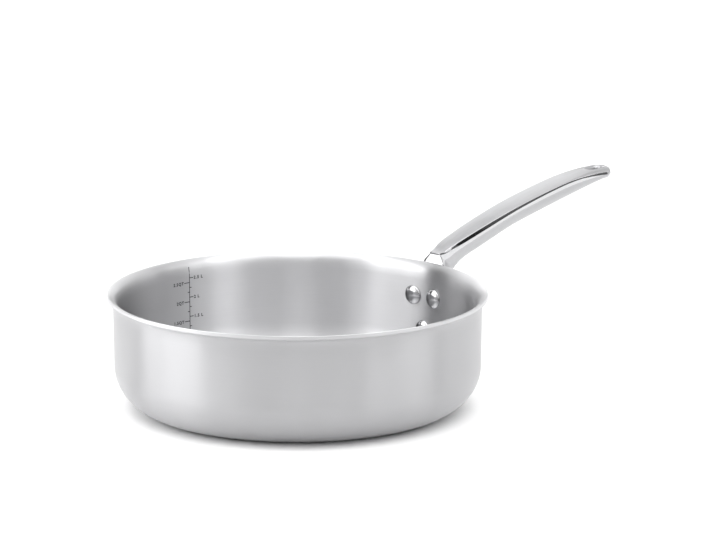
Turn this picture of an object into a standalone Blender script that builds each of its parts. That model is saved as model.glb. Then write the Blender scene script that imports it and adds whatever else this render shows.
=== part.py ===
"""Stainless steel saute pan with a riveted cast handle.

The body is one pressed sheet of three bonded layers: steel inside, aluminium in the
middle and steel outside. All three turn outwards together into the pouring lip. The
cast handle has a curved flange that hugs the wall and is held by three round-headed
rivets. Metres, +Z up. The origin is the centre of the underside, and the handle
points along +X.
"""

import math
from collections import namedtuple

import bmesh
import bpy
from mathutils import Matrix, Vector

MM = 0.001

# Pan body
WALL_RADIUS = 119.0 * MM        # outside of the wall, just under the lip
WALL_DRAFT = 0.45 * MM          # how much narrower the wall is at the base corner
PAN_HEIGHT = 76.0 * MM          # table to the top of the lip
CORNER_RADIUS = 27.0 * MM       # outside radius between base and wall
LIP_RADIUS = 4.3 * MM           # outside radius of the turned-out lip
LIP_TURN = math.radians(85.0)   # how far the lip turns from upright
LIP_EDGE_ROUND = 0.35 * MM      # rounding of the lip's two cut corners

# Layers of the sheet
INNER_STEEL = 0.5 * MM
CORE_ALUMINIUM = 1.5 * MM
OUTER_STEEL = 0.5 * MM
BOND_GAP = 0.1 * MM             # left between bonded layers

# Rivets
RIVET_SPREAD = 18.5 * MM        # between the two upper rivets, along the inside wall
RIVET_UPPER_HEIGHT = 54.0 * MM
RIVET_LOWER_HEIGHT = 31.7 * MM
RIVET_SHANK_RADIUS = 2.5 * MM
RIVET_HEAD_RADIUS = 6.4 * MM
RIVET_HEAD_HEIGHT = 2.6 * MM
RIVET_HEAD_EDGE = 0.5 * MM      # upright edge under the inside dome
RIVET_TAIL_RADIUS = 4.6 * MM
RIVET_TAIL_HEIGHT = 1.7 * MM
RIVET_TAIL_EDGE = 0.4 * MM      # upright edge under the outside dome
HOLE_CLEARANCE = 0.3 * MM       # between a rivet's shank and its hole
SEAT_GAP = 0.3 * MM             # between pieces that rest on each other

# Handle flange
FLANGE_THICKNESS = 3.0 * MM
FLANGE_MARGIN = 8.0 * MM        # metal round each rivet's centre
FLANGE_TOP_BELOW_RIM = 8.0 * MM
FLANGE_TOP_HALF_WIDTH = 10.5 * MM
FLANGE_BLANK_REACH = 12.0 * MM  # of the untrimmed blank, to each side of the wall

# Handle stem and grip
LIP_TO_NECK = 1.2 * MM          # free gap between the lip's edge and the neck
NECK_HEIGHT = 33.0 * MM         # rim down to the foot of the stem
NECK_SWEEP = 20.0 * MM          # how far out the stem's belly swings beside the neck
GRIP_START_OUT = 10.5 * MM      # start of the grip, out from the neck's face
GRIP_START_UP = 9.2 * MM        # the same, above the rim
GRIP_LENGTH = 147.5 * MM        # start of the grip to the middle of the hanging loop
GRIP_RISE = 31.4 * MM           # climb of the top face over that length
GRIP_HALF_WIDTH = 9.2 * MM      # of the top plate, and the radius of its round end
GRIP_DEPTH = 14.2 * MM          # top to belly in the middle of the grip
KEEL_HALF_WIDTH = 5.7 * MM      # of the belly there
TIP_TURN = math.radians(84.0)   # how far round that end the last cross-section sits
PLATE_EDGE = 2.6 * MM           # height of the top plate's upright edge
PLATE_EDGE_MOST = 0.5           # the most that edge takes of the handle's depth
PLATE_CORNER = 1.0 * MM         # rounding of the top plate's upper corners
LOOP_CORNER = 4.2 * MM          # the same rounding at the hanging loop
PLATE_CROWN = 0.4 * MM          # how far the top face bulges in the middle
CROWN_HALFWAY = 0.75            # share of that bulge left halfway to the edge
SHOULDER_DEPTH = 0.55           # where the hollow flank meets the keel, of the depth
HANGING_HOLE_LENGTH = 13.0 * MM
HANGING_HOLE_WIDTH = 7.0 * MM
HANGING_HOLE_BACK = 3.5 * MM    # the hole's middle behind the tip's centre

# Fineness of the facets
PAN_STEPS = 64
CORNER_STEPS = 7
LIP_STEPS = 4
RIVET_STEPS = 18
DOME_STEPS = 4
FLANK_STEPS = 3
KEEL_STEPS = 5
PLATE_CORNER_STEPS = 2
TIP_STEPS = 5
STATIONS_BETWEEN = 2
MERGE = 0.001 * MM
FLAT_ANGLE = math.radians(0.5)  # faces this near to flat become one
SMOOTH_ANGLE = math.radians(40.0)

SHEET = INNER_STEEL + CORE_ALUMINIUM + OUTER_STEEL + 2.0 * BOND_GAP
LIP_EDGE_RADIUS = WALL_RADIUS + LIP_RADIUS
LIP_CENTRE_HEIGHT = PAN_HEIGHT - (LIP_RADIUS + SHEET)
FLANGE_INSIDE = WALL_RADIUS + SEAT_GAP
FLANGE_OUTSIDE = FLANGE_INSIDE + FLANGE_THICKNESS
INSIDE_WALL = WALL_RADIUS - SHEET
NECK_FACE = LIP_EDGE_RADIUS + LIP_TO_NECK

# One cross-section of the handle. The top and belly points lie in the XZ plane and
# the widths run across it: plate is half the top's width, keel half the belly's, and
# corner is the rounding of the top's edges.
Station = namedtuple("Station", "top_x top_z belly_x belly_z plate keel corner")


def remove_everything():
    """Empty the scene."""
    for thing in list(bpy.data.objects):
        bpy.data.objects.remove(thing, do_unlink=True)


def make_collection(name):
    """Return a new collection linked to the scene."""
    collection = bpy.data.collections.new(name)
    bpy.context.scene.collection.children.link(collection)
    return collection


def make_material(name, colour, roughness, metallic=1.0):
    """Return a Principled material."""
    material = bpy.data.materials.new(name)
    material.use_nodes = True
    shader = material.node_tree.nodes["Principled BSDF"]
    shader.inputs["Base Color"].default_value = (*colour, 1.0)
    shader.inputs["Roughness"].default_value = roughness
    shader.inputs["Metallic"].default_value = metallic
    return material


def add_object(name, mesh, collection, material=None):
    """Link a mesh to the collection as a new object."""
    thing = bpy.data.objects.new(name, mesh)
    collection.objects.link(thing)
    if material is not None:
        mesh.materials.append(material)
    return thing


def mark_as_cutter(thing):
    """Show a cutter as wire and keep it out of the render."""
    thing.hide_render = True
    thing.display_type = "WIRE"


def profile_mesh(name, points, closed=False):
    """Return a mesh that holds a profile in the XZ plane."""
    mesh = bpy.data.meshes.new(name)
    edges = [(i, i + 1) for i in range(len(points) - 1)]
    if closed:
        edges.append((len(points) - 1, 0))
    mesh.from_pydata([(x, 0.0, z) for x, z in points], edges, [])
    return mesh


def add_screw(thing, steps):
    """Turn an object's profile once round its Z axis."""
    screw = thing.modifiers.new("Turned", "SCREW")
    screw.axis = "Z"
    screw.angle = math.tau
    screw.steps = steps
    screw.render_steps = steps
    screw.use_smooth_shade = True
    screw.use_merge_vertices = True
    screw.merge_threshold = MERGE
    return screw


def add_boolean(thing, cutter, operation):
    """Cut or join an object with another one."""
    boolean = thing.modifiers.new(operation.title() + " " + cutter.name, "BOOLEAN")
    boolean.operation = operation
    boolean.solver = "EXACT"
    boolean.object = cutter
    return boolean


def arc(centre_x, centre_z, radius, start, end, steps):
    """Return points on an arc, angles in radians from +X towards +Z."""
    return [
        (
            centre_x + radius * math.cos(start + (end - start) * i / steps),
            centre_z + radius * math.sin(start + (end - start) * i / steps),
        )
        for i in range(steps + 1)
    ]


def sheet_line(depth):
    """Return the sheet's line at a depth under its outside face, base to lip."""
    corner_centre = WALL_RADIUS - WALL_DRAFT - CORNER_RADIUS
    corner = arc(
        corner_centre, CORNER_RADIUS, CORNER_RADIUS - depth, -math.pi / 2, 0.0, CORNER_STEPS
    )
    lip = arc(
        LIP_EDGE_RADIUS, LIP_CENTRE_HEIGHT, LIP_RADIUS + depth,
        math.pi, math.pi - LIP_TURN, LIP_STEPS,
    )
    return [(0.0, depth)] + corner + lip


def rounded_end(line, neighbour, size):
    """Return two points that take the corner off the end of a line."""
    end = Vector(line[-1])
    back = (Vector(line[-2]) - end).normalized() * size
    across = (Vector(neighbour) - end).normalized() * size
    return [tuple(end + back), tuple(end + across)]


def ply_profile(outer_depth, inner_depth):
    """Return a layer's closed outline from the inside centre to the outside centre."""
    inner = sheet_line(inner_depth)
    outer = sheet_line(outer_depth)
    inner_end = [inner[-1]]
    outer_end = [outer[-1]]
    if inner_depth == SHEET:
        inner_end = rounded_end(inner, outer[-1], LIP_EDGE_ROUND)
    if outer_depth == 0.0:
        outer_end = rounded_end(outer, inner[-1], LIP_EDGE_ROUND)[::-1]
    return inner[:-1] + inner_end + outer_end + outer[-2::-1]


def build_ply(name, outer_depth, inner_depth, parts, material, holes):
    """Make one layer of the pressed sheet."""
    mesh = profile_mesh(name, ply_profile(outer_depth, inner_depth))
    ply = add_object(name, mesh, parts, material)
    add_screw(ply, PAN_STEPS)
    for hole in holes:
        add_boolean(ply, hole, "DIFFERENCE")
    return ply


def rivet_places():
    """Return each rivet's name, angle round the pan and height."""
    side = RIVET_SPREAD / (2.0 * INSIDE_WALL)
    return [
        ("rivet_upper_left", side, RIVET_UPPER_HEIGHT),
        ("rivet_upper_right", -side, RIVET_UPPER_HEIGHT),
        ("rivet_lower", 0.0, RIVET_LOWER_HEIGHT),
    ]


def rivet_matrix(angle, height):
    """Return a rivet's place: local +Z points at the pan's axis, origin on the axis."""
    return (
        Matrix.Translation((0.0, 0.0, height))
        @ Matrix.Rotation(angle, 4, "Z")
        @ Matrix.Rotation(-math.pi / 2, 4, "Y")
    )


def dome(radius, height, base):
    """Return points of a low dome from its middle out to its edge."""
    return [
        (
            radius * math.sin(math.pi / 2 * i / DOME_STEPS),
            base + height * math.cos(math.pi / 2 * i / DOME_STEPS),
        )
        for i in range(DOME_STEPS + 1)
    ]


def inside_wall_at(height):
    """Return the wall's inside radius at a height above the base corner."""
    share = (LIP_CENTRE_HEIGHT - height) / (LIP_CENTRE_HEIGHT - CORNER_RADIUS)
    return INSIDE_WALL - WALL_DRAFT * share


def rivet_profile(height):
    """Return the rivet's outline, from the middle of its inside head outwards."""
    facet = math.cos(math.pi / PAN_STEPS)
    wall = inside_wall_at(height - RIVET_HEAD_RADIUS)
    wall_near_head = math.sqrt(wall ** 2 - RIVET_HEAD_RADIUS ** 2) * facet
    head_seat = -(wall_near_head - SEAT_GAP)
    tail_seat = -(FLANGE_OUTSIDE + SEAT_GAP)
    head = dome(
        RIVET_HEAD_RADIUS, RIVET_HEAD_HEIGHT - RIVET_HEAD_EDGE, head_seat + RIVET_HEAD_EDGE
    )
    tail = dome(
        RIVET_TAIL_RADIUS, -(RIVET_TAIL_HEIGHT - RIVET_TAIL_EDGE), tail_seat - RIVET_TAIL_EDGE
    )
    shank = [
        (RIVET_HEAD_RADIUS, head_seat),
        (RIVET_SHANK_RADIUS, head_seat),
        (RIVET_SHANK_RADIUS, tail_seat),
        (RIVET_TAIL_RADIUS, tail_seat),
    ]
    return head + shank + tail[::-1]


def build_rivets(parts, material):
    """Make the three rivets."""
    for name, angle, height in rivet_places():
        profile = profile_mesh(name, rivet_profile(height))
        rivet = add_object(name, profile, parts, material)
        rivet.matrix_world = rivet_matrix(angle, height)
        add_screw(rivet, RIVET_STEPS)


def build_hole_cutters(cutters):
    """Make one cutter for each rivet's hole through the sheet and the flange."""
    inside = INSIDE_WALL - FLANGE_THICKNESS
    outside = FLANGE_OUTSIDE + FLANGE_THICKNESS
    holes = []
    for name, angle, height in rivet_places():
        mesh = bpy.data.meshes.new(name + "_hole")
        shape = bmesh.new()
        bmesh.ops.create_cone(
            shape, cap_ends=True, segments=RIVET_STEPS,
            radius1=RIVET_SHANK_RADIUS + HOLE_CLEARANCE,
            radius2=RIVET_SHANK_RADIUS + HOLE_CLEARANCE,
            depth=outside - inside,
            matrix=Matrix.Translation((0.0, 0.0, -(outside + inside) / 2.0)),
        )
        hole = add_object(name + "_hole", finished_mesh(shape, mesh), cutters)
        hole.matrix_world = rivet_matrix(angle, height)
        mark_as_cutter(hole)
        holes.append(hole)
    return holes


def neck_stations():
    """Return the cross-sections from the flange up past the lip to the top plate.

    Each row holds the top point's distance out from the neck's face as a share of the
    neck's sweep and its height above the rim as a share of the neck's height, the same
    for the belly, and the half widths of plate and keel as shares of the grip's. The
    first one stands in the middle of the flange.
    """
    root = ((FLANGE_INSIDE + FLANGE_OUTSIDE) / 2.0 - NECK_FACE) / NECK_SWEEP
    rows = [
        (root, -0.303, root, -1.0, 1.087, 0.70),
        (-0.020, -0.167, 0.170, -0.788, 1.065, 0.70),
        (0.0, 0.009, 0.550, -0.479, 0.92, 0.754),
        (0.045, 0.115, 0.810, -0.282, 0.66, 0.825),
        (0.175, 0.191, 0.995, -0.176, 0.56, 0.86),
    ]
    return [
        Station(
            NECK_FACE + top_out * NECK_SWEEP, PAN_HEIGHT + top_up * NECK_HEIGHT,
            NECK_FACE + belly_out * NECK_SWEEP, PAN_HEIGHT + belly_up * NECK_HEIGHT,
            plate * GRIP_HALF_WIDTH, keel * KEEL_HALF_WIDTH, PLATE_CORNER,
        )
        for top_out, top_up, belly_out, belly_up, plate, keel in rows
    ]


def grip_stations():
    """Return the cross-sections from the neck to the middle of the hanging loop.

    Each row holds the share of the grip's length and of its climb, the lean of the
    section from upright in degrees, the shares of the grip's depth and of the half
    widths of plate and keel, and the share of the loop's rounder corner.
    """
    rows = [
        (0.00, 0.00, 46.0, 1.260, 0.75, 0.895, 0.0),
        (0.08, 0.14, 36.0, 1.148, 0.87, 0.93, 0.0),
        (0.20, 0.315, 22.0, 1.092, 0.946, 0.965, 0.0),
        (0.40, 0.57, 15.0, 1.0, 1.0, 1.0, 0.0),
        (0.60, 0.77, 12.0, 0.972, 1.0, 1.035, 0.0),
        (0.77, 0.91, 9.0, 0.908, 1.0, 1.088, 0.1),
        (0.90, 0.98, 6.0, 0.775, 1.0, 1.228, 0.6),
        (1.00, 1.00, 4.0, 0.606, 1.0, 1.368, 1.0),
    ]
    stations = []
    for along, climb, lean, depth, plate, keel, rounder in rows:
        corner = PLATE_CORNER + (LOOP_CORNER - PLATE_CORNER) * rounder
        top_x = NECK_FACE + GRIP_START_OUT + along * GRIP_LENGTH
        top_z = PAN_HEIGHT + GRIP_START_UP + climb * GRIP_RISE
        belly_x = top_x + depth * GRIP_DEPTH * math.sin(math.radians(lean))
        belly_z = top_z - depth * GRIP_DEPTH * math.cos(math.radians(lean))
        stations.append(
            Station(
                top_x, top_z, belly_x, belly_z,
                plate * GRIP_HALF_WIDTH, keel * KEEL_HALF_WIDTH, corner,
            )
        )
    return stations


def curve_between(before, start, end, after, share):
    """Return a value on the smooth curve through four neighbours."""
    return 0.5 * (
        2.0 * start
        + (end - before) * share
        + (2.0 * before - 5.0 * start + 4.0 * end - after) * share ** 2
        + (3.0 * start - before - 3.0 * end + after) * share ** 3
    )


def smooth_stations(stations):
    """Fill in stations between the given ones on smooth curves."""
    filled = []
    last = len(stations) - 1
    for i in range(last):
        around = [stations[min(max(i + k, 0), last)] for k in (-1, 0, 1, 2)]
        for j in range(STATIONS_BETWEEN):
            share = j / STATIONS_BETWEEN
            filled.append(Station(*(curve_between(*four, share) for four in zip(*around))))
    filled.append(stations[last])
    return filled


def tip_stations(loop):
    """Return the cross-sections of the round end, which narrow and get thinner."""
    stations = []
    for i in range(1, TIP_STEPS + 1):
        turn = TIP_TURN * i / TIP_STEPS
        out = GRIP_HALF_WIDTH * math.sin(turn)
        narrow = math.cos(turn)
        into_corner = max(0.0, loop.corner - (GRIP_HALF_WIDTH - out))
        corner = math.sqrt(loop.corner ** 2 - into_corner ** 2)
        thinner = loop.corner - corner
        stations.append(
            Station(
                loop.top_x + out, loop.top_z - thinner,
                loop.belly_x + out, loop.belly_z + thinner,
                loop.plate * narrow, loop.keel * narrow, corner,
            )
        )
    return stations


def half_outline(station):
    """Return half of a cross-section as (across, depth) from the top to the belly."""
    top = Vector((station.top_x, station.top_z))
    belly = Vector((station.belly_x, station.belly_z))
    depth = (belly - top).length
    plate = station.plate
    keel = station.keel
    corner = station.corner
    edge = min(max(PLATE_EDGE, corner), PLATE_EDGE_MOST * depth)
    shoulder = SHOULDER_DEPTH * depth
    crown = PLATE_CROWN * min(1.0, plate / GRIP_HALF_WIDTH)
    points = [(0.0, -crown), ((plate - corner) / 2.0, -CROWN_HALFWAY * crown)]
    for i in range(PLATE_CORNER_STEPS + 1):
        turn = math.pi / 2 * i / PLATE_CORNER_STEPS
        points.append((plate - corner + corner * math.sin(turn), corner - corner * math.cos(turn)))
    for i in range(FLANK_STEPS + 1):
        turn = math.pi / 2 * i / FLANK_STEPS
        points.append(
            (plate - (plate - keel) * math.sin(turn), shoulder - (shoulder - edge) * math.cos(turn))
        )
    for i in range(1, KEEL_STEPS + 1):
        turn = math.pi / 2 * i / KEEL_STEPS
        points.append((keel * math.cos(turn), shoulder + (depth - shoulder) * math.sin(turn)))
    points[-1] = (0.0, depth)
    return points


def section_ring(station):
    """Return a cross-section's points in space, once round."""
    top = Vector((station.top_x, 0.0, station.top_z))
    belly = Vector((station.belly_x, 0.0, station.belly_z))
    down = (belly - top).normalized()
    half = half_outline(station)
    ring = [top + down * depth + Vector((0.0, across, 0.0)) for across, depth in half]
    mirrored = half[-2:0:-1]
    ring += [top + down * depth - Vector((0.0, across, 0.0)) for across, depth in mirrored]
    return ring


def finished_mesh(shape, mesh):
    """Write a shape to its mesh with its faces outwards and its round sides smooth."""
    bmesh.ops.recalc_face_normals(shape, faces=shape.faces)
    shape.to_mesh(mesh)
    shape.free()
    mesh.shade_smooth()
    mesh.set_sharp_from_angle(angle=SMOOTH_ANGLE)
    return mesh


def loft(name, rings):
    """Return a closed mesh through rings of as many points each."""
    mesh = bpy.data.meshes.new(name)
    shape = bmesh.new()
    loops = [[shape.verts.new(point) for point in ring] for ring in rings]
    count = len(loops[0])
    for near, far in zip(loops, loops[1:]):
        for i in range(count):
            k = (i + 1) % count
            shape.faces.new((near[i], near[k], far[k], far[i]))
    shape.faces.new(loops[0])
    shape.faces.new(loops[-1])
    return finished_mesh(shape, mesh)


def circle(centre_a, centre_b, radius, steps):
    """Return points once round a circle in a plane."""
    return arc(centre_a, centre_b, radius, 0.0, math.tau * (steps - 1) / steps, steps - 1)


def hull_mesh(name, points):
    """Return the closed hull round the points, with its flat sides in one face each."""
    mesh = bpy.data.meshes.new(name)
    shape = bmesh.new()
    for point in points:
        shape.verts.new(point)
    bmesh.ops.convex_hull(shape, input=shape.verts)
    loose = [vert for vert in shape.verts if not vert.link_faces]
    bmesh.ops.delete(shape, geom=loose, context="VERTS")
    bmesh.ops.dissolve_limit(
        shape, angle_limit=FLAT_ANGLE, verts=shape.verts, edges=shape.edges
    )
    return finished_mesh(shape, mesh)


def flange_blank_mesh():
    """Return the hull round the rivets and the neck's foot, as a block through the wall."""
    ends = (WALL_RADIUS - FLANGE_BLANK_REACH, WALL_RADIUS + FLANGE_BLANK_REACH)
    top = PAN_HEIGHT - FLANGE_TOP_BELOW_RIM
    outline = [(FLANGE_TOP_HALF_WIDTH, top), (-FLANGE_TOP_HALF_WIDTH, top)]
    for _, angle, height in rivet_places():
        across = FLANGE_OUTSIDE * math.sin(angle)
        outline += circle(across, height, FLANGE_MARGIN, RIVET_STEPS)
    return hull_mesh("flange_blank", [(x, y, z) for x in ends for y, z in outline])


def build_flange(cutters):
    """Return the flange as an object: the blank trimmed to the curve of the wall."""
    low = RIVET_LOWER_HEIGHT - 2.0 * FLANGE_MARGIN
    profile = [
        (FLANGE_INSIDE, PAN_HEIGHT),
        (FLANGE_OUTSIDE, PAN_HEIGHT),
        (FLANGE_OUTSIDE, low),
        (FLANGE_INSIDE, low),
    ]
    hoop = add_object("flange_hoop", profile_mesh("flange_hoop", profile, closed=True), cutters)
    add_screw(hoop, PAN_STEPS)
    mark_as_cutter(hoop)
    flange = add_object("flange", flange_blank_mesh(), cutters)
    add_boolean(flange, hoop, "INTERSECT")
    mark_as_cutter(flange)
    return flange


def build_hanging_hole(loop, cutters):
    """Make the cutter of the rounded slot near the handle's tip."""
    radius = HANGING_HOLE_WIDTH / 2.0
    straight = HANGING_HOLE_LENGTH / 2.0 - radius
    middle = loop.top_x - HANGING_HOLE_BACK
    outline = circle(middle - straight, 0.0, radius, RIVET_STEPS)
    outline += circle(middle + straight, 0.0, radius, RIVET_STEPS)
    ends = (loop.top_z - 2.0 * GRIP_HALF_WIDTH, loop.top_z + 2.0 * GRIP_HALF_WIDTH)
    points = [(x, y, z) for z in ends for x, y in outline]
    slot = add_object("hanging_hole", hull_mesh("hanging_hole", points), cutters)
    mark_as_cutter(slot)
    return slot


def build_handle(parts, cutters, material, holes):
    """Make the cast handle: stem, grip, flange and its holes in one piece."""
    stations = smooth_stations(neck_stations() + grip_stations())
    loop = stations[-1]
    stations += tip_stations(loop)
    mesh = loft("handle", [section_ring(station) for station in stations])
    handle = add_object("handle", mesh, parts, material)
    add_boolean(handle, build_flange(cutters), "UNION")
    for hole in holes:
        add_boolean(handle, hole, "DIFFERENCE")
    add_boolean(handle, build_hanging_hole(loop, cutters), "DIFFERENCE")
    return handle


def build():
    """Build the whole pan."""
    remove_everything()
    parts = make_collection("saute_pan")
    cutters = make_collection("cutters")
    inner_steel = make_material("inner_steel", (0.60, 0.60, 0.61), 0.34)
    core_aluminium = make_material("core_aluminium", (0.78, 0.78, 0.79), 0.45)
    outer_steel = make_material("outer_steel", (0.66, 0.66, 0.67), 0.30)
    handle_steel = make_material("handle_steel", (0.70, 0.70, 0.71), 0.22)
    rivet_steel = make_material("rivet_steel", (0.74, 0.74, 0.75), 0.12)
    holes = build_hole_cutters(cutters)
    core_outside = OUTER_STEEL + BOND_GAP
    inner_outside = core_outside + CORE_ALUMINIUM + BOND_GAP
    build_ply("outer_ply", 0.0, OUTER_STEEL, parts, outer_steel, holes)
    build_ply(
        "aluminium_core", core_outside, core_outside + CORE_ALUMINIUM, parts, core_aluminium, holes
    )
    build_ply("inner_ply", inner_outside, SHEET, parts, inner_steel, holes)
    build_handle(parts, cutters, handle_steel, holes)
    build_rivets(parts, rivet_steel)
    bpy.context.view_layer.update()


build()
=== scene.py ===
"""Looks of a stainless steel saute pan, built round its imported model.

The pan's three bonded layers, its cast handle and its rivets are modelled here finely,
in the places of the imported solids, and the etched filling scale on the inside wall is
added. Metres, +Z up, the handle along +X, the origin in the middle of the underside.
"""

import itertools
import logging
import math
from dataclasses import dataclass
from enum import Enum, IntEnum
from typing import Callable, Dict, List, NamedTuple, Optional, Sequence, Tuple, Union

import bmesh
import bpy
from mathutils import Matrix, Vector


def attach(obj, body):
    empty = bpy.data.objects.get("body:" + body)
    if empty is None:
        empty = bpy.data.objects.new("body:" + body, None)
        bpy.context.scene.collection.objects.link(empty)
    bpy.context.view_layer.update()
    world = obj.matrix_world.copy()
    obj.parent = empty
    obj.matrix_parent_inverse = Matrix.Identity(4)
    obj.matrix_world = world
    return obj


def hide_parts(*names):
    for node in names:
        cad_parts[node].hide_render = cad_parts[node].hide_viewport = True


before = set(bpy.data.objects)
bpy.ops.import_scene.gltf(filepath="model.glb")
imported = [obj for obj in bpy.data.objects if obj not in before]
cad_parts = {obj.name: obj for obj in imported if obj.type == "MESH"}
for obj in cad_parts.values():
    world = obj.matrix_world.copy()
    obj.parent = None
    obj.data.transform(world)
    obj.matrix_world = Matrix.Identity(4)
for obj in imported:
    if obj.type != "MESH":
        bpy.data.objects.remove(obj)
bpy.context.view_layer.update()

MM = 0.001
WELD = 0.0005 * MM
ROUND_STEPS = 256
BODY = "root"
LOG = logging.getLogger("saute_pan")

Colour = Tuple[float, float, float]
Point = Tuple[float, float]
Number = Union[float, "Value"]
Measure = Union[float, Vector]


# Shader arithmetic


class Value:
    """A number inside a shader. Arithmetic on it adds Math nodes."""

    def __init__(self, shader: "Shader", socket: bpy.types.NodeSocket) -> None:
        """Wrap one output socket."""
        self.shader = shader
        self.socket = socket

    def _math(self, operation: str, first: Number, second: Number) -> "Value":
        """Return the result of a Math node on two numbers."""
        return self.shader.node("ShaderNodeMath", {"operation": operation}, {0: first, 1: second})

    def __add__(self, other: Number) -> "Value":
        """Add."""
        return self._math("ADD", self, other)

    def __radd__(self, other: Number) -> "Value":
        """Add to a plain number."""
        return self._math("ADD", other, self)

    def __sub__(self, other: Number) -> "Value":
        """Subtract."""
        return self._math("SUBTRACT", self, other)

    def __mul__(self, other: Number) -> "Value":
        """Multiply."""
        return self._math("MULTIPLY", self, other)

    def __truediv__(self, other: Number) -> "Value":
        """Divide."""
        return self._math("DIVIDE", self, other)

    def __pow__(self, other: Number) -> "Value":
        """Raise to a power."""
        return self._math("POWER", self, other)


# The Mix node's sockets for colours, whose names are those of its other sockets too
MIX_SHARE, MIX_LOW, MIX_HIGH, MIX_COLOUR = 0, 6, 7, 2


class Shader:
    """A material under construction."""

    def __init__(self, name: str) -> None:
        """Start an empty material.

        Args:
            name: The material's name.
        """
        self.material = bpy.data.materials.new(name)
        self.material.use_nodes = True
        self.tree = self.material.node_tree
        self.tree.nodes.clear()

    def node(
        self,
        kind: str,
        settings: Optional[Dict[str, object]] = None,
        inputs: Optional[Dict[Union[int, str], object]] = None,
        output: Union[int, str] = 0,
    ) -> Value:
        """Add a node and return one of its outputs.

        Args:
            kind: The node's type.
            settings: Its settings.
            inputs: Plain values or links for its sockets, by name or number.
            output: The name or number of the output to return.

        Returns:
            The output as a Value.
        """
        node = self.tree.nodes.new(kind)
        for key, setting in (settings or {}).items():
            setattr(node, key, setting)
        for key, value in (inputs or {}).items():
            if isinstance(value, Value):
                self.tree.links.new(value.socket, node.inputs[key])
            else:
                node.inputs[key].default_value = value
        return Value(self, node.outputs[output])

    def axes(self) -> Tuple[Value, Value, Value]:
        """Split the object coordinates.

        Returns:
            X, Y and Z.
        """
        place = self.node("ShaderNodeTexCoord", output="Object")
        split = self.node("ShaderNodeSeparateXYZ", None, {0: place})
        x, y, z = split.socket.node.outputs
        return Value(self, x), Value(self, y), Value(self, z)

    def vector(self, x: Number, y: Number, z: Number) -> Value:
        """Return a vector from three numbers."""
        return self.node("ShaderNodeCombineXYZ", None, {0: x, 1: y, 2: z})

    def noise(self, vector: Value, detail: float, w: Optional[Number] = None) -> Value:
        """Return noise from 0 to 1 at one cell per unit.

        Args:
            vector: Where to read it.
            detail: How many finer layers it has.
            w: A fourth coordinate, or None for noise in space.

        Returns:
            The noise's value.
        """
        settings = {"noise_dimensions": "3D" if w is None else "4D"}
        inputs = {"Vector": vector, "Scale": 1.0, "Detail": detail}
        if w is not None:
            inputs["W"] = w
        return self.node("ShaderNodeTexNoise", settings, inputs)

    def clouds(self, size: float, detail: float) -> Value:
        """Return noise from 0 to 1 whose cells have a real size."""
        x, y, z = self.axes()
        return self.noise(self.vector(x / size, y / size, z / size), detail)

    def blend(self, share: Number, low: Colour, high: Colour) -> Value:
        """Return a colour between two, by a share from 0 to 1."""
        inputs = {MIX_SHARE: share, MIX_LOW: (*low, 1.0), MIX_HIGH: (*high, 1.0)}
        return self.node("ShaderNodeMix", {"data_type": "RGBA"}, inputs, MIX_COLOUR)

    def bump(self, height: Value, distance: float) -> Value:
        """Return a normal that follows a height from 0 to 1 of the given real depth."""
        return self.node("ShaderNodeBump", None, {"Height": height, "Distance": distance})

    def finish(self, inputs: Dict[str, object]) -> bpy.types.Material:
        """Close the material with a Principled shader.

        Args:
            inputs: Plain values or links for the shader's sockets.

        Returns:
            The finished material.
        """
        surface = self.node("ShaderNodeBsdfPrincipled", None, inputs)
        output = self.tree.nodes.new("ShaderNodeOutputMaterial")
        self.tree.links.new(surface.socket, output.inputs["Surface"])
        return self.material


# Finishes

WALL_REACH = 119.0 * MM
NOISE_MIDDLE = 0.5
LOW_DETAIL = 1.0
MIDDLE_DETAIL = 2.0
HIGH_DETAIL = 3.0
LINE_SHARE = 0.6
CLOUD_SHARE = 0.4
QUARTER_TURN = 0.25


class Grain(Enum):
    """The way the fine lines of a finish run."""

    ROUND = "turned round the pan's axis"
    LONG = "drawn along the handle"
    POLISHED = "buffed, with hairlines only"


@dataclass(frozen=True)
class Steel:
    """A metal finish, from satin to polished."""

    name: str
    colour: Colour
    roughness: float
    grain: Grain
    anisotropy: float = 0.0
    line_width: float = 0.45 * MM
    line_length: float = 30.0 * MM
    line_depth: float = 0.0015 * MM
    roughness_spread: float = 0.08
    cloud_size: float = 22.0 * MM
    tone_spread: float = 0.05

    def lines(self, shader: Shader) -> Value:
        """Draw the fine lines.

        Args:
            shader: The material under construction.

        Returns:
            Noise from 0 to 1, drawn out along the lines.
        """
        x, y, z = shader.axes()
        long, wide = self.line_length, self.line_width
        if self.grain is Grain.ROUND:
            radius = (x * x + y * y) ** 0.5
            reach = WALL_REACH / long
            place = shader.vector(x / radius * reach, y / radius * reach, z / wide)
            return shader.noise(place, HIGH_DETAIL, radius / wide)
        if self.grain is Grain.LONG:
            return shader.noise(shader.vector(x / long, y / wide, 0.0), HIGH_DETAIL)
        return shader.noise(shader.vector(x / long, y / wide, z / wide), LOW_DETAIL)

    def make(self) -> bpy.types.Material:
        """Make the finish.

        Returns:
            The material.
        """
        shader = Shader(self.name)
        lines = self.lines(shader)
        clouds = shader.clouds(self.cloud_size, MIDDLE_DETAIL)
        roughness = self.roughness + (lines - NOISE_MIDDLE) * self.roughness_spread
        roughness = roughness + (clouds - NOISE_MIDDLE) * self.roughness_spread
        share = lines * LINE_SHARE + clouds * CLOUD_SHARE
        darker = tuple(channel * (1.0 - self.tone_spread) for channel in self.colour)
        lighter = tuple(min(1.0, channel * (1.0 + self.tone_spread)) for channel in self.colour)
        return shader.finish({
            "Base Color": shader.blend(share, darker, lighter),
            "Metallic": 1.0,
            "Roughness": roughness,
            "Anisotropic": self.anisotropy,
            "Anisotropic Rotation": QUARTER_TURN,
            "Normal": shader.bump(lines, self.line_depth),
        })


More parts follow.
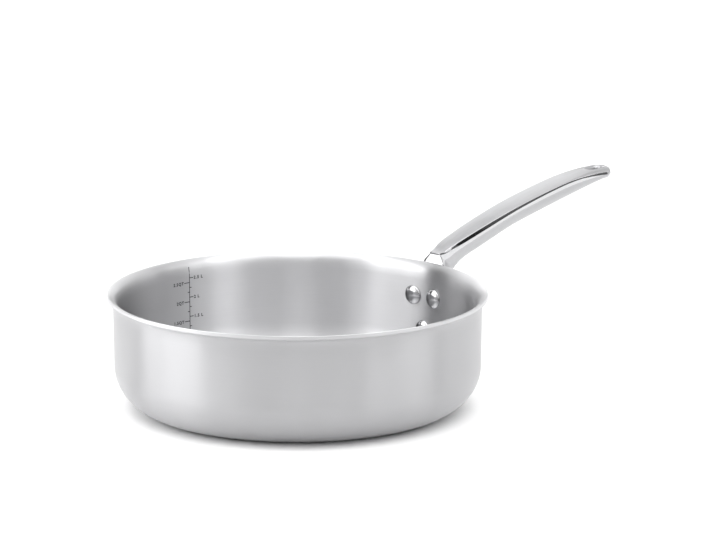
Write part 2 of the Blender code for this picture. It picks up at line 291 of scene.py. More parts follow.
@dataclass(frozen=True)
class Etching:
    """Dark marks bitten into the steel."""

    name: str
    colour: Colour
    fleck_size: float = 0.25 * MM
    fleck_tone: float = 1.8
    metallic: float = 0.4
    roughness: float = 0.55
    roughness_spread: float = 0.2

    def make(self) -> bpy.types.Material:
        """Make the finish.

        Returns:
            The material.
        """
        shader = Shader(self.name)
        flecks = shader.clouds(self.fleck_size, LOW_DETAIL)
        paler = tuple(channel * self.fleck_tone for channel in self.colour)
        return shader.finish({
            "Base Color": shader.blend(flecks, self.colour, paler),
            "Metallic": self.metallic,
            "Roughness": self.roughness + (flecks - NOISE_MIDDLE) * self.roughness_spread,
        })


@dataclass(frozen=True)
class Paper:
    """The pale sweep that the pan stands on."""

    name: str
    tone: float
    fibre_size: float = 4.0 * MM
    fibre_tone: float = 0.99
    roughness: float = 0.9

    def make(self) -> bpy.types.Material:
        """Make the finish.

        Returns:
            The material.
        """
        shader = Shader(self.name)
        fibres = shader.clouds(self.fibre_size, MIDDLE_DETAIL)
        low = (self.tone * self.fibre_tone,) * 3
        high = (self.tone,) * 3
        return shader.finish({
            "Base Color": shader.blend(fibres, low, high),
            "Roughness": self.roughness,
            "Specular IOR Level": 0.0,
        })


OUTER_STEEL = Steel("outer_steel", (0.49, 0.49, 0.50), 0.42, Grain.ROUND, 0.97)
INNER_STEEL = Steel("inner_steel", (0.60, 0.60, 0.61), 0.33, Grain.ROUND, 1.0)
CORE_ALUMINIUM = Steel("core_aluminium", (0.62, 0.62, 0.63), 0.42, Grain.ROUND, 0.3)
SATIN_STEEL = Steel(
    "handle_satin_steel", (0.405, 0.405, 0.415), 0.36, Grain.LONG, 0.0,
    line_width=1.1 * MM, line_length=14.0 * MM, line_depth=0.004 * MM, tone_spread=0.25,
)
# The keel's satin steel: its colour, darker than the polished steel's, is painted shade on the
# belly, the loop's top and the hanging hole's wall.
KEEL_SATIN_AND_SHADE_STEEL = Steel("handle_keel_steel", (0.41, 0.41, 0.42), 0.30, Grain.LONG, 0.0)
POLISHED_STEEL = Steel(
    "handle_polished_steel", (0.54, 0.54, 0.55), 0.07, Grain.POLISHED, 0.0,
    line_width=1.2 * MM, line_depth=0.0004 * MM, roughness_spread=0.04,
)
RIVET_STEEL = Steel(
    "rivet_steel", (0.52, 0.52, 0.53), 0.05, Grain.POLISHED, 0.0,
    line_width=0.8 * MM, line_depth=0.0004 * MM, roughness_spread=0.03,
)
ETCHED = Etching("etched_marks", (0.02, 0.02, 0.024))
PAPER = Paper("studio_paper", 0.92)


# Steps on the mesh


def deselect() -> None:
    """Leave edit mode and leave nothing selected."""
    active = bpy.context.view_layer.objects.active
    if active is not None and active.mode != "OBJECT":
        bpy.ops.object.mode_set(mode="OBJECT")
    bpy.ops.object.select_all(action="DESELECT")


def take(piece: bpy.types.Object) -> None:
    """Select one object alone and make it the active one.

    Args:
        piece: The object.
    """
    deselect()
    piece.select_set(True)
    bpy.context.view_layer.objects.active = piece


def edit(piece: bpy.types.Object) -> None:
    """Open one object in edit mode with all of it selected.

    Args:
        piece: The object.
    """
    take(piece)
    bpy.ops.object.mode_set(mode="EDIT")
    bpy.ops.mesh.select_mode(type="VERT")
    bpy.ops.mesh.select_all(action="SELECT")


def new_piece(name: str) -> bpy.types.Object:
    """Name the primitive that was just added.

    Args:
        name: The piece's name.

    Returns:
        The piece.
    """
    piece = bpy.context.object
    piece.name = name
    piece.data.name = name
    return piece


def settle() -> None:
    """Apply the selected pieces' places, turns and sizes to their meshes."""
    bpy.ops.object.transform_apply(location=True, rotation=True, scale=True)


def sort_parts(
    parts: Union[bmesh.types.BMVertSeq, bmesh.types.BMFaceSeq],
    label: Callable[[Union[bmesh.types.BMVert, bmesh.types.BMFace]], Tuple[float, ...]],
) -> None:
    """Sort a mesh's points or faces by labels, so that each run gives the same order.

    Args:
        parts: The points or faces.
        label: What gives a part its own label.
    """
    ranks = {name: rank for rank, name in enumerate(sorted(label(part) for part in parts))}
    parts.sort(key=lambda part: ranks[label(part)])
    parts.index_update()


def close_seams(piece: bpy.types.Object) -> None:
    """Merge a piece's doubles, turn its faces outwards and put its parts in order.

    Args:
        piece: The piece that was just shaped.
    """
    edit(piece)
    bpy.ops.mesh.remove_doubles(threshold=WELD)
    bpy.ops.mesh.normals_make_consistent(inside=False)
    shape = bmesh.from_edit_mesh(piece.data)
    sort_parts(shape.verts, lambda vert: tuple(vert.co))
    sort_parts(shape.faces, lambda face: tuple(sorted(vert.index for vert in face.verts)))
    bmesh.update_edit_mesh(piece.data)
    bpy.ops.object.mode_set(mode="OBJECT")


def spin_outline(name: str, outline: Sequence[Point], steps: int) -> bpy.types.Object:
    """Draw an outline point by point and spin it round the Z axis.

    Args:
        name: The new piece's name.
        outline: Distances from the axis and heights.
        steps: How many facets go round.

    Returns:
        The turned piece.
    """
    deselect()
    bpy.ops.mesh.primitive_plane_add(size=MM)
    piece = new_piece(name)
    edit(piece)
    bpy.ops.mesh.merge(type="CENTER")
    bpy.ops.transform.translate(value=(outline[0][0], 0.0, outline[0][1]))
    for (radius, height), (next_radius, next_height) in zip(outline, outline[1:]):
        step = (next_radius - radius, 0.0, next_height - height)
        bpy.ops.mesh.extrude_vertices_move(TRANSFORM_OT_translate={"value": step})
    bpy.ops.mesh.select_all(action="SELECT")
    bpy.ops.mesh.spin(steps=steps, angle=math.tau, center=(0.0, 0.0, 0.0), axis=(0.0, 0.0, 1.0))
    close_seams(piece)
    return piece


def extrude_rings(name: str, rings: Sequence[Sequence[Vector]]) -> bpy.types.Object:
    """Start from a circle and extrude it ring by ring, each shaped to its section.

    Args:
        name: The new piece's name.
        rings: The sections' points, as many in each.

    Returns:
        The tube, closed at both ends.
    """
    deselect()
    bpy.ops.mesh.primitive_circle_add(vertices=len(rings[0]), radius=MM, fill_type="NGON")
    piece = new_piece(name)
    edit(piece)
    shape = bmesh.from_edit_mesh(piece.data)
    shape.verts.ensure_lookup_table()
    current = list(shape.verts)
    for vert, point in zip(current, rings[0]):
        vert.co = point
    for ring in rings[1:]:
        order = {tuple(vert.co): i for i, vert in enumerate(current)}
        bpy.ops.mesh.extrude_region_move()
        shape = bmesh.from_edit_mesh(piece.data)
        moved = [vert for vert in shape.verts if vert.select]
        current = sorted(moved, key=lambda vert: order[tuple(vert.co)])
        for vert, point in zip(current, ring):
            vert.co = point
    bmesh.update_edit_mesh(piece.data)
    close_seams(piece)
    return piece


def apply_modifiers(piece: bpy.types.Object) -> None:
    """Apply every modifier of a piece.

    Args:
        piece: The piece.
    """
    take(piece)
    for modifier in list(piece.modifiers):
        bpy.ops.object.modifier_apply(modifier=modifier.name)


def combine(piece: bpy.types.Object, tools: Sequence[bpy.types.Object], operation: str) -> None:
    """Cut a piece with tools or join them to it, and remove the tools.

    Args:
        piece: The piece that is changed.
        tools: The solids that cut or join it.
        operation: The Boolean modifier's operation.
    """
    for tool in tools:
        boolean = piece.modifiers.new(tool.name, "BOOLEAN")
        boolean.operation = operation
        boolean.solver = "EXACT"
        boolean.object = tool
    apply_modifiers(piece)
    for tool in tools:
        bpy.data.objects.remove(tool, do_unlink=True)


def smooth(piece: bpy.types.Object, angle: float) -> None:
    """Shade a piece smooth, but for its sharp edges.

    Args:
        piece: The piece.
        angle: The sharpest angle that is smoothed, in degrees.
    """
    take(piece)
    bpy.ops.object.shade_smooth_by_angle(angle=math.radians(angle))
    deselect()


def dress(piece: bpy.types.Object, *materials: bpy.types.Material) -> None:
    """Give a piece its materials.

    Args:
        piece: The piece.
        materials: Its finishes, in the order of its faces' numbers.
    """
    piece.data.materials.clear()
    for material in materials:
        piece.data.materials.append(material)


def hand_over(piece: bpy.types.Object, slot: str, *nodes: str) -> None:
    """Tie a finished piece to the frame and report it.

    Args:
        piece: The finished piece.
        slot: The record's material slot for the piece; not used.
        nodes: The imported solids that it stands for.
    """
    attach(piece, BODY)
    if nodes:
        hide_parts(*nodes)
    LOG.info("%s: %d faces", piece.name, len(piece.data.polygons))


def polar(centre: Point, radius: float, turn: float) -> Point:
    """Return the point at a distance and an angle from a centre."""
    return centre[0] + radius * math.cos(turn), centre[1] + radius * math.sin(turn)


def arc(centre: Point, radius: float, start: float, end: float, steps: int) -> List[Point]:
    """Return points on an arc in a plane, its two angles in degrees."""
    turns = (start + (end - start) * i / steps for i in range(steps + 1))
    return [polar(centre, radius, math.radians(turn)) for turn in turns]


def quarter(steps: int) -> List[float]:
    """Return the angles that cut a quarter turn into equal steps."""
    return [math.pi / 2.0 * i / steps for i in range(steps + 1)]


# The pan


class LipArc(NamedTuple):
    """One arc of the lip's curve: its middle, its outside radius and its two angles."""

    centre: Point
    radius: float
    start: float
    end: float


@dataclass(frozen=True)
class Sheet:
    """The pan's sheet, measured on its outside. Edges sharper than the crease stay sharp."""

    wall: float = 119.0 * MM
    draft: float = 0.45 * MM
    corner: float = 30.0 * MM
    flare: float = 64.35 * MM
    lip_radii: Tuple[float, ...] = (30.0 * MM, 12.0 * MM, 3.54 * MM)
    lip_turns: Tuple[float, ...] = (8.0, 20.0, 85.0)
    thickness: float = 2.7 * MM
    edge_round: float = 0.35 * MM
    corner_steps: int = 26
    lip_steps: int = 10
    edge_steps: int = 4
    crease: float = 30.0

    def lip_arcs(self) -> List[LipArc]:
        """Lay the lip's arcs end to end, each one tighter than the one below it.

        Returns:
            The arcs, from the wall up.
        """
        radii = self.lip_radii
        centre = (self.wall + radii[0], self.flare)
        wall_side = start = 180.0
        arcs = []
        for radius, following, turned in zip(radii, radii[1:] + radii[-1:], self.lip_turns):
            end = wall_side - turned
            arcs.append(LipArc(centre, radius, start, end))
            centre = polar(centre, radius - following, math.radians(end))
            start = end
        return arcs

    def line(self, depth: float, short: float) -> List[Point]:
        """Return the sheet's line from the axis to the lip.

        Args:
            depth: How far inside the outer face it runs.
            short: How far it stops before the lip's cut edge.

        Returns:
            Radii and heights.
        """
        centre = (self.wall - self.draft - self.corner, self.corner)
        line = [(0.0, depth)]
        line += arc(centre, self.corner - depth, -90.0, 0.0, self.corner_steps)
        arcs = self.lip_arcs()
        for i, part in enumerate(arcs):
            reach = part.radius + depth
            end = part.end + (math.degrees(short / reach) if part is arcs[-1] else 0.0)
            points = arc(part.centre, reach, part.start, end, self.lip_steps)
            line += points if i == 0 else points[1:]
        return line

    def edge_point(self, depth: float, short: float) -> Point:
        """Find a point near the lip's cut edge.

        Args:
            depth: How far inside the outer face it lies.
            short: How far before the edge it lies.

        Returns:
            Its radius and height.
        """
        last = self.lip_arcs()[-1]
        reach = last.radius + depth
        return polar(last.centre, reach, math.radians(last.end) + short / reach)

    def rounding(self, depth: float, inwards: bool) -> List[Point]:
        """Round the cut edge at one face of the sheet.

        Args:
            depth: The face's depth.
            inwards: Whether the rounding goes deeper from there.

        Returns:
            Radii and heights.
        """
        points = []
        for turn in quarter(self.edge_steps)[1:]:
            side = self.edge_round * (1.0 - math.cos(turn))
            short = self.edge_round * (1.0 - math.sin(turn))
            points.append(self.edge_point(depth + (side if inwards else -side), short))
        return points

    def layer(self, outer: float, inner: float) -> List[Point]:
        """Draw the layer between two depths.

        Args:
            outer: The depth of its outer face.
            inner: The depth of its inner face.

        Returns:
            Its outline's radii and heights.
        """
        outer_short = self.edge_round if outer == 0.0 else 0.0
        inner_short = self.edge_round if inner == self.thickness else 0.0
        outline = self.line(outer, outer_short)
        if outer_short:
            outline += self.rounding(outer, True)
        back = self.line(inner, inner_short)
        if inner_short:
            back += self.rounding(inner, False)
        return outline + back[::-1]

    def inside(self, height: float) -> float:
        """Find the inside radius at a height.

        Args:
            height: The height above the table.

        Returns:
            The radius.
        """
        if height < self.corner:
            reach = self.corner - self.thickness
            drop = self.corner - height
            return self.wall - self.draft - self.corner + math.sqrt(reach ** 2 - drop ** 2)
        first = self.lip_arcs()[0]
        if height > self.flare:
            reach = first.radius + self.thickness
            return first.centre[0] - math.sqrt(reach ** 2 - (height - self.flare) ** 2)
        share = (self.flare - height) / (self.flare - self.corner)
        return self.wall - self.thickness - self.draft * share


@dataclass(frozen=True)
class Layer:
    """One bonded layer of the sheet."""

    name: str
    node: str
    slot: str
    outer: float
    inner: float
    finish: Steel


@dataclass(frozen=True)
class RivetPlace:
    """Where a rivet goes through the wall."""

    name: str
    across: float
    height: float


@dataclass(frozen=True)
class RivetSize:
    """A rivet's sizes and the flange it holds."""

    shank: float = 2.5 * MM
    head: float = 6.4 * MM
    head_dome: float = 2.4 * MM
    head_edge: float = 0.2 * MM
    tail: float = 4.6 * MM
    tail_dome: float = 1.5 * MM
    tail_edge: float = 0.2 * MM
    flange_face: float = 122.3 * MM
    hole_depth: float = 20.0 * MM
    clearance: float = 0.05 * MM
    crease: float = 40.0
    steps: int = 64
    dome_steps: int = 16


@dataclass(frozen=True)
class Rivets:
    """The three rivets that hold the handle, in the sheet that they go through."""

    sheet: Sheet
    size: RivetSize
    places: Sequence[RivetPlace]

    def bearing(self, place: RivetPlace) -> float:
        """Return a rivet's angle round the pan from the handle's middle."""
        return place.across / (self.sheet.wall - self.sheet.thickness)

    def put(self, piece: bpy.types.Object, place: RivetPlace) -> None:
        """Move a solid that is drawn along Z to a rivet's place.

        Args:
            piece: The solid.
            place: Where it goes through the wall.
        """
        lift = Matrix.Translation((0.0, 0.0, place.height))
        turn = Matrix.Rotation(self.bearing(place), 4, "Z")
        take(piece)
        piece.matrix_world = lift @ turn @ Matrix.Rotation(-math.pi / 2.0, 4, "Y")
        settle()

    def outline(self, place: RivetPlace) -> List[Point]:
        """Draw half of a rivet.

        Args:
            place: The rivet's place on the wall.

        Returns:
            Distances from its axis and from the pan's axis, from the inside head on.
        """
        size = self.size
        head_seat = -math.sqrt(self.sheet.inside(place.height) ** 2 - size.head ** 2)
        tail_seat = -math.sqrt(size.flange_face ** 2 - size.tail ** 2)
        head = self.dome(size.head, size.head_dome, head_seat + size.head_edge)
        tail = self.dome(size.tail, -size.tail_dome, tail_seat - size.tail_edge)
        middle = [
            (size.head, head_seat), (size.shank, head_seat),
            (size.shank, tail_seat), (size.tail, tail_seat),
        ]
        return head + middle + tail[::-1]

    def dome(self, radius: float, rise: float, base: float) -> List[Point]:
        """Return a half oval outline from its top to its steep edge."""
        turns = quarter(self.size.dome_steps)
        return [(radius * math.sin(turn), base + rise * math.cos(turn)) for turn in turns]

    def cutters(self) -> List[bpy.types.Object]:
        """Make the solids that cut the rivet holes.

        Returns:
            One solid for each rivet.
        """
        size = self.size
        tools = []
        for place in self.places:
            deselect()
            bpy.ops.mesh.primitive_cylinder_add(
                vertices=size.steps, radius=size.shank + size.clearance, depth=size.hole_depth,
                location=(0.0, 0.0, -self.sheet.wall),
            )
            tool = new_piece(place.name + "_hole")
            settle()
            self.put(tool, place)
            tools.append(tool)
        return tools

    def build(self, material: bpy.types.Material) -> None:
        """Turn the rivets and put them in their holes.

        Args:
            material: Their finish.
        """
        for place in self.places:
            rivet = spin_outline(place.name + "_head", self.outline(place), self.size.steps)
            self.put(rivet, place)
            smooth(rivet, self.size.crease)
            dress(rivet, material)
            hand_over(rivet, "rivet_steel", place.name)


@dataclass(frozen=True)
class PanShell:
    """The pan's bonded layers, outermost first, and the rivets through the wall."""

    sheet: Sheet
    layers: Sequence[Layer]
    rivets: Rivets

    def build(self) -> None:
        """Turn every layer and cut the rivet holes."""
        for layer in self.layers:
            outline = self.sheet.layer(layer.outer, layer.inner)
            piece = spin_outline(layer.name, outline, ROUND_STEPS)
            combine(piece, self.rivets.cutters(), "DIFFERENCE")
            smooth(piece, self.sheet.crease)
            dress(piece, layer.finish.make())
            hand_over(piece, layer.slot, layer.node)


# The handle


class Station(NamedTuple):
    """One cross-section of the handle, from its top to its belly."""

    top: Vector
    belly: Vector
    plate: float
    keel: float
    corner: float
    edge: float


@dataclass(frozen=True)
class NeckRow:
    """A cross-section of the neck, in millimetres from the neck's face at the rim."""

    top_out: float
    top_up: float
    belly_out: float
    belly_up: float
    plate: float
    keel: float
    corner: float
    edge: float


@dataclass(frozen=True)
class GripRow:
    """A cross-section of the grip, in shares of the grip's own sizes, and its edge in mm."""

    along: float
    climb: float
    lean: float
    depth: float
    plate: float
    keel: float
    corner: float
    edge: float


@dataclass(frozen=True)
class HandleSize:
    """The handle's sizes. Level and upright are the upward shares of a face's direction."""

    face: float = 124.5 * MM
    rim: float = 76.0 * MM
    start_out: float = 10.5 * MM
    start_up: float = 9.2 * MM
    length: float = 147.5 * MM
    rise: float = 31.4 * MM
    half_width: float = 9.2 * MM
    depth: float = 14.2 * MM
    keel: float = 5.7 * MM
    edge_most: float = 0.5
    edge_lean: float = 16.0
    lean_most: float = 0.3
    nose_lean: float = 19.5
    corner: float = 0.6 * MM
    loop_corner: float = 4.2 * MM
    crown: float = 0.4 * MM
    crown_growth: float = 12.0 * MM
    shoulder: float = 0.55
    tip_turn: float = 84.0
    flange_inside: float = 119.05 * MM
    flange_outside: float = 122.3 * MM
    flange_margin: float = 8.0 * MM
    flange_top: float = 68.0 * MM
    flange_top_half: float = 10.5 * MM
    flange_strip: float = 2.0 * MM
    flange_low: float = 20.0 * MM
    flange_blank: float = 24.0 * MM
    flange_edge: float = 0.7 * MM
    flange_corner: float = 50.0
    hole_length: float = 12.4 * MM
    hole_width: float = 6.2 * MM
    hole_back: float = 3.5 * MM
    hole_round: float = 2.3 * MM
    hole_over: float = 3.0 * MM
    satin_end: float = 267.0 * MM
    level: float = 0.5
    upright: float = 0.9
    crease: float = 32.0
    groove_steps: int = 7
    steps_between: int = 6
    tip_steps: int = 14
    corner_steps: int = 6
    crown_steps: int = 4
    flank_steps: int = 8
    keel_steps: int = 10
    hole_steps: int = 8
    round_steps: int = 64


class HandleFinish(IntEnum):
    """The handle's finishes, in the order of its materials. The keel's is satin with painted
    shade.
    """

    GROOVE = 0
    TOP = 1
    KEEL_SATIN_AND_SHADE = 2


class Handle:
    """The cast handle: flange, neck, grip and hanging loop."""

    def __init__(
        self, size: HandleSize, neck: Sequence[NeckRow], grip: Sequence[GripRow], rivets: Rivets
    ) -> None:
        """Set the casting out.

        Args:
            size: Its sizes.
            neck: The neck's cross-sections, from the flange.
            grip: The grip's cross-sections, to the loop's middle.
            rivets: The rivets through its flange.
        """
        self.size = size
        self.rivets = rivets
        self.rows = [self.neck_station(row) for row in neck]
        self.crest = self.rows[CREST_ROW].top.x
        self.rows += [self.grip_station(row) for row in grip]
        self.loop = self.rows[-1]

    def neck_station(self, row: NeckRow) -> Station:
        """Put a neck row in space.

        Args:
            row: The cross-section.

        Returns:
            The same cross-section in metres.
        """
        face, rim = self.size.face, self.size.rim
        top = Vector((face + row.top_out * MM, 0.0, rim + row.top_up * MM))
        belly = Vector((face + row.belly_out * MM, 0.0, rim + row.belly_up * MM))
        widths = (row.plate * MM, row.keel * MM, row.corner * MM, row.edge * MM)
        return Station(top, belly, *widths)

    def grip_station(self, row: GripRow) -> Station:
        """Put a grip row in space.

        Args:
            row: The cross-section.

        Returns:
            The same cross-section in metres.
        """
        size = self.size
        x = size.face + size.start_out + size.length * row.along
        z = size.rim + size.start_up + size.rise * row.climb
        lean = math.radians(row.lean)
        down = Vector((math.sin(lean), 0.0, -math.cos(lean)))
        top = Vector((x, 0.0, z))
        corner = size.corner + (size.loop_corner - size.corner) * row.corner
        return Station(
            top, top + down * size.depth * row.depth,
            size.half_width * row.plate, size.keel * row.keel, corner, row.edge * MM,
        )

    @staticmethod
    def between(rows: Sequence[Station], share: float) -> Station:
        """Lay a smooth curve through four rows.

        Args:
            rows: The four cross-sections.
            share: How far it is from the second to the third.

        Returns:
            The cross-section there.
        """
        t, t2, t3 = share, share ** 2, share ** 3
        start_share, end_share = 2 * t3 - 3 * t2 + 1, -2 * t3 + 3 * t2
        in_share, out_share = t3 - 2 * t2 + t, t3 - t2

        def curve(a: Measure, b: Measure, c: Measure, d: Measure) -> Measure:
            """Follow one measure through the four rows."""
            slope_in, slope_out = (c - a) * 0.5, (d - b) * 0.5
            return b * start_share + slope_in * in_share + c * end_share + slope_out * out_share

        return Station(*(curve(*measures) for measures in zip(*rows)))

    def stations(self) -> List[Station]:
        """Follow the handle from the flange to the tip.

        Returns:
            All its cross-sections.
        """
        rows = [self.rows[0], *self.rows, self.rows[-1]]
        stations = []
        for i in range(len(self.rows) - 1):
            for step in range(self.size.steps_between):
                share = step / self.size.steps_between
                stations.append(self.between(rows[i:i + 4], share))
        stations.append(self.loop)
        return stations + self.tip_stations()

    def tip_stations(self) -> List[Station]:
        """Round the handle's end.

        Returns:
            Its cross-sections after the loop's middle.
        """
        size, loop = self.size, self.loop
        down = (loop.belly - loop.top).normalized()
        stations = []
        for i in range(1, size.tip_steps + 1):
            turn = math.radians(size.tip_turn) * i / size.tip_steps
            out = loop.plate * math.sin(turn)
            narrow = math.cos(turn)
            into = max(0.0, loop.corner - (loop.plate - out))
            corner = math.sqrt(loop.corner ** 2 - into ** 2)
            thinner = loop.corner - corner
            step = Vector((out, 0.0, 0.0))
            stations.append(Station(
                loop.top + step + down * thinner, loop.belly + step - down * thinner,
                loop.plate * narrow, loop.keel * narrow, min(corner, loop.plate * narrow),
                loop.edge,
            ))
        return stations

    def half_outline(self, station: Station) -> List[Point]:
        """Draw half a cross-section.

        Args:
            station: Its sizes.

        Returns:
            Distances from the middle and depths under the top.
        """
        size = self.size
        depth = (station.belly - station.top).length
        plate, keel, corner = station.plate, station.keel, station.corner
        edge = min(max(station.edge, corner), size.edge_most * depth)
        shoulder = size.shoulder * depth
        grown = min(max((station.top.x - self.crest) / size.crown_growth, 0.0), 1.0)
        crown = size.crown * min(grown, plate / size.half_width)
        tilt = size.nose_lean + (size.edge_lean - size.nose_lean) * grown
        lean = (edge - corner) * math.tan(math.radians(tilt))
        lean = max(min(lean, size.lean_most * (plate - corner)), 0.0)
        flat = plate - lean - corner
        points = []
        for i in range(size.crown_steps):
            share = i / size.crown_steps
            points.append((flat * share, -crown * (1.0 - share ** 2)))
        for turn in quarter(size.corner_steps):
            points.append((flat + corner * math.sin(turn), corner * (1.0 - math.cos(turn))))
        for turn in quarter(size.flank_steps):
            across = plate - (plate - keel) * math.sin(turn)
            points.append((across, shoulder - (shoulder - edge) * math.cos(turn)))
        for turn in quarter(size.keel_steps)[1:]:
            below = shoulder + (depth - shoulder) * math.sin(turn)
            points.append((keel * math.cos(turn), below))
        points[-1] = (0.0, depth)
        return points

    def ring(self, station: Station) -> List[Vector]:
        """Put a cross-section in space.

        Args:
            station: Its place and sizes.

        Returns:
            Its points, once round.
        """
        down = (station.belly - station.top).normalized()
        half = self.half_outline(station)
        both = half + [(-across, depth) for across, depth in half[-2:0:-1]]
        return [station.top + down * depth + Vector((0.0, across, 0.0)) for across, depth in both]

    def flange(self) -> bpy.types.Object:
        """Curve the flange to the wall and round its edge.

        Returns:
            The flange.
        """
        size = self.size
        deselect()
        blanks = []
        for place in self.rivets.places:
            across = size.flange_outside * math.sin(self.rivets.bearing(place))
            bpy.ops.mesh.primitive_cylinder_add(
                vertices=size.round_steps, radius=size.flange_margin, depth=size.flange_blank,
                location=(size.flange_outside, across, place.height),
                rotation=(0.0, math.pi / 2.0, 0.0),
            )
            blanks.append(bpy.context.object)
        strip_height = size.flange_top - size.flange_strip / 2.0
        bpy.ops.mesh.primitive_cube_add(
            size=1.0, location=(size.flange_outside, 0.0, strip_height),
            scale=(size.flange_blank, 2.0 * size.flange_top_half, size.flange_strip),
        )
        for blank in blanks:
            blank.select_set(True)
        bpy.ops.object.join()
        settle()
        blank = new_piece("flange_blank")
        edit(blank)
        bpy.ops.mesh.convex_hull()
        close_seams(blank)
        low, high = size.flange_low, size.rim
        corners = [
            (size.flange_inside, high), (size.flange_outside, high),
            (size.flange_outside, low), (size.flange_inside, low),
        ]
        hoop = spin_outline("flange", corners + corners[:1], ROUND_STEPS)
        combine(hoop, [blank], "INTERSECT")
        bevel = hoop.modifiers.new("edges", "BEVEL")
        bevel.width = size.flange_edge
        bevel.segments = 3
        bevel.angle_limit = math.radians(size.flange_corner)
        apply_modifiers(hoop)
        return hoop

    def hole_middle(self) -> float:
        """Return how far out the hanging hole's middle is."""
        return self.loop.top.x - self.size.hole_back

    def hanging_hole(self) -> bpy.types.Object:
        """Shape the solid that cuts the hanging hole and rounds its rims.

        Returns:
            The solid.
        """
        size = self.size
        top, bottom = self.loop.top.z, self.loop.belly.z
        radius = size.hole_width / 2.0
        straight = size.hole_length / 2.0 - radius
        rim = []
        for turn in quarter(size.hole_steps):
            flare = size.hole_round * (1.0 - math.sin(turn))
            rim.append((top - size.hole_round * (1.0 - math.cos(turn)), flare))
        low = [(top + bottom - height, flare) for height, flare in rim]
        levels = [(top + size.hole_over, size.hole_round)] + rim
        levels += low[::-1] + [(bottom - size.hole_over, size.hole_round)]
        rings = []
        for height, flare in levels:
            ring = []
            for i in range(size.round_steps):
                turn = math.tau * (i + 0.5) / size.round_steps
                x = math.copysign(straight, math.cos(turn)) + (radius + flare) * math.cos(turn)
                y = (radius + flare) * math.sin(turn)
                ring.append(Vector((self.hole_middle() + x, y, height)))
            rings.append(ring)
        return extrude_rings("hanging_hole", rings)

    def paint(self, piece: bpy.types.Object, rings: Sequence[Sequence[Vector]]) -> None:
        """Give the stem its finishes, band by band round the section, the keel's with painted
        shade.

        Args:
            piece: The stem, before anything is joined to it or cut.
            rings: The sections that it was made from.
        """
        size = self.size
        count = len(rings[0])
        bands = {}
        for ring in rings:
            for i, point in enumerate(ring):
                bands[tuple(round(value / WELD) for value in point)] = min(i, count - i)
        corner_end = size.crown_steps + size.corner_steps
        for face in piece.data.polygons:
            corners = [piece.data.vertices[i].co for i in face.vertices]
            keys = [tuple(round(value / WELD) for value in corner) for corner in corners]
            band = min(bands.get(key, 0) for key in keys)
            above = face.center.x > self.crest and face.normal.z > size.level
            on_top = above and band < corner_end - 1
            if on_top and face.center.x < size.satin_end:
                face.material_index = HandleFinish.TOP
            # The belly and the loop's top past the satin get the keel's finish, darkened as
            # painted shade.
            elif on_top or band >= corner_end + size.groove_steps:
                face.material_index = HandleFinish.KEEL_SATIN_AND_SHADE
            else:
                face.material_index = HandleFinish.GROOVE

    def paint_hole(self, piece: bpy.types.Object) -> None:
        """Give the hanging hole's wall the keel's finish, whose darker colour is painted shade.

        Args:
            piece: The finished handle.
        """
        size = self.size
        reach = size.hole_length / 2.0 + size.hole_round
        half = size.hole_width / 2.0 + size.hole_round
        for face in piece.data.polygons:
            x, y, _ = face.center
            inside = abs(x - self.hole_middle()) < reach and abs(y) < half
            if inside and abs(face.normal.z) < size.upright:
                face.material_index = HandleFinish.KEEL_SATIN_AND_SHADE

    def build(
        self, groove: bpy.types.Material, top: bpy.types.Material, keel: bpy.types.Material
    ) -> None:
        """Cast the handle.

        Args:
            groove: The polished finish of the edges and the grooves under them.
            top: The satin finish of the flat top.
            keel: The satin finish of the rounded belly, darkened as painted shade.
        """
        rings = [self.ring(station) for station in self.stations()]
        stem = extrude_rings("cast_handle", rings)
        dress(stem, groove, top, keel)
        self.paint(stem, rings)
        combine(stem, [self.flange()], "UNION")
        combine(stem, self.rivets.cutters(), "DIFFERENCE")
        combine(stem, [self.hanging_hole()], "DIFFERENCE")
        self.paint_hole(stem)
        smooth(stem, self.size.crease)
        hand_over(stem, "handle_steel", "handle")


# The filling scale


@dataclass(frozen=True)
class ScaleSide:
    """One side of the filling scale."""

    name: str
    unit: str
    side: int
    top: float
    tick: float
    labels: Tuple[float, ...]


@dataclass(frozen=True)
class ScaleSize:
    """The filling scale's sizes."""

    bearing: float = 83.3
    low: float = 28.0 * MM
    high: float = 71.7 * MM
    line: float = 0.5 * MM
    letter: float = 2.8 * MM
    letter_weight: float = 0.11 * MM
    letter_spacing: float = 1.25
    proud: float = 0.03 * MM
    gap: float = 0.5 * MM
    minor_tick: float = 1.6 * MM
    minor_step: float = 0.25
    unit_height: float = 25.9 * MM
    letter_drop: float = 0.36
    cuts: int = 16


